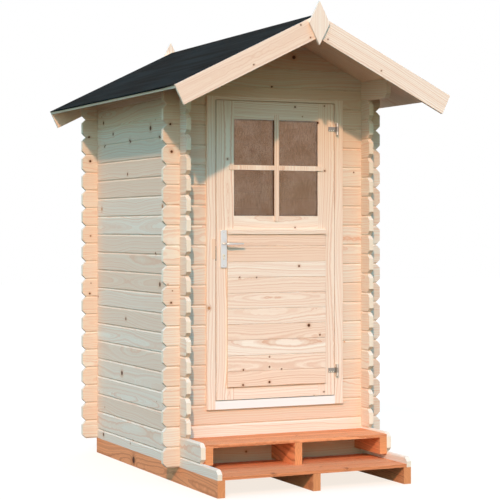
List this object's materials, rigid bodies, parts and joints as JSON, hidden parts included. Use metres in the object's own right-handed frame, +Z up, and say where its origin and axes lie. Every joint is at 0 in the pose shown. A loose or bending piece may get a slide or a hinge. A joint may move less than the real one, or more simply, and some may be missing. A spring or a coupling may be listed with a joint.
{
  "type": "garden outhouse",
  "caption": "Small log-built garden outhouse with interlocking corners, a felted gable roof with a deep front overhang, wide timber steps and a hinged half-glazed door with a lever.",
  "frame": {"origin": "on the ground, under the middle of the four walls", "axes": "+X to the right seen from the front, +Y from the door to the back, +Z up"},
  "size_m": [1.708, 2.204, 2.6965],
  "materials": {
    "wall_wood": "planed, untreated spruce",
    "impregnated_wood": "planed, pressure-treated",
    "floor_wood": "planed, untreated",
    "roof_wood": "planed, untreated",
    "roofing_felt": "matt bitumen felt",
    "frame_wood": "planed, untreated",
    "threshold_paint": "white, satin",
    "leaf_wood": "planed, untreated",
    "window_glass": "clear, a dim room behind it",
    "handle_aluminium": "satin anodised",
    "lock_brass": "satin",
    "strike_steel": "zinc plated",
    "hinge_zinc": "zinc plated"
  },
  "bodies": {
    "building": {"back_wall_a": "wall_wood", "back_wall_b": "wall_wood", "bargeboards_left": "roof_wood", "bargeboards_right": "roof_wood", "door_head": "frame_wood", "door_jambs": "frame_wood", "eave_logs": "wall_wood", "finials": "roof_wood", "floor_bearers": "impregnated_wood", "floor_boards": "floor_wood", "front_gable_a": "wall_wood", "front_gable_b": "wall_wood", "front_wall_bottom_a": "wall_wood", "front_wall_bottom_b": "wall_wood", "front_wall_left_a": "wall_wood", "front_wall_left_b": "wall_wood", "front_wall_right_a": "wall_wood", "front_wall_right_b": "wall_wood", "hinge_frame_halves": "hinge_zinc", "joists": "impregnated_wood", "left_wall_a": "wall_wood", "left_wall_b": "wall_wood", "lower_tread": "impregnated_wood", "ridge_purlin": "roof_wood", "right_wall_a": "wall_wood", "right_wall_b": "wall_wood", "roof_boards_left": "roof_wood", "roof_boards_right": "roof_wood", "roofing_felt": "roofing_felt", "sill_logs": "wall_wood", "step_logs": "wall_wood", "strike_plate": "strike_steel", "threshold": "threshold_paint", "tread_spacers": "impregnated_wood", "upper_tread": "impregnated_wood"},
    "door": {"door_stiles": "leaf_wood", "door_rails": "leaf_wood", "door_boards": "leaf_wood", "weather_strip": "leaf_wood", "glazing_bars": "leaf_wood", "door_glass": "window_glass", "handle_plates": "handle_aluminium", "lock_cylinder": "lock_brass", "hinge_leaf_halves": "hinge_zinc"},
    "handle": {"lever_handle": "handle_aluminium"}
  },
  "joints": [
    {"name": "door_hinge", "type": "hinge", "parent": "building", "child": "door", "pos_m": [0.395, -0.743, 1.3], "axis": [0, 0, 1], "range_deg": [0, 105]},
    {"name": "handle_turn", "type": "hinge", "parent": "door", "child": "handle", "pos_m": [-0.336, -0.719, 1.359], "axis": [0, 1, 0], "range_deg": [0, 45], "stiffness_Nm_per_rad": 1.6, "springref_deg": -14.32}
  ]
}
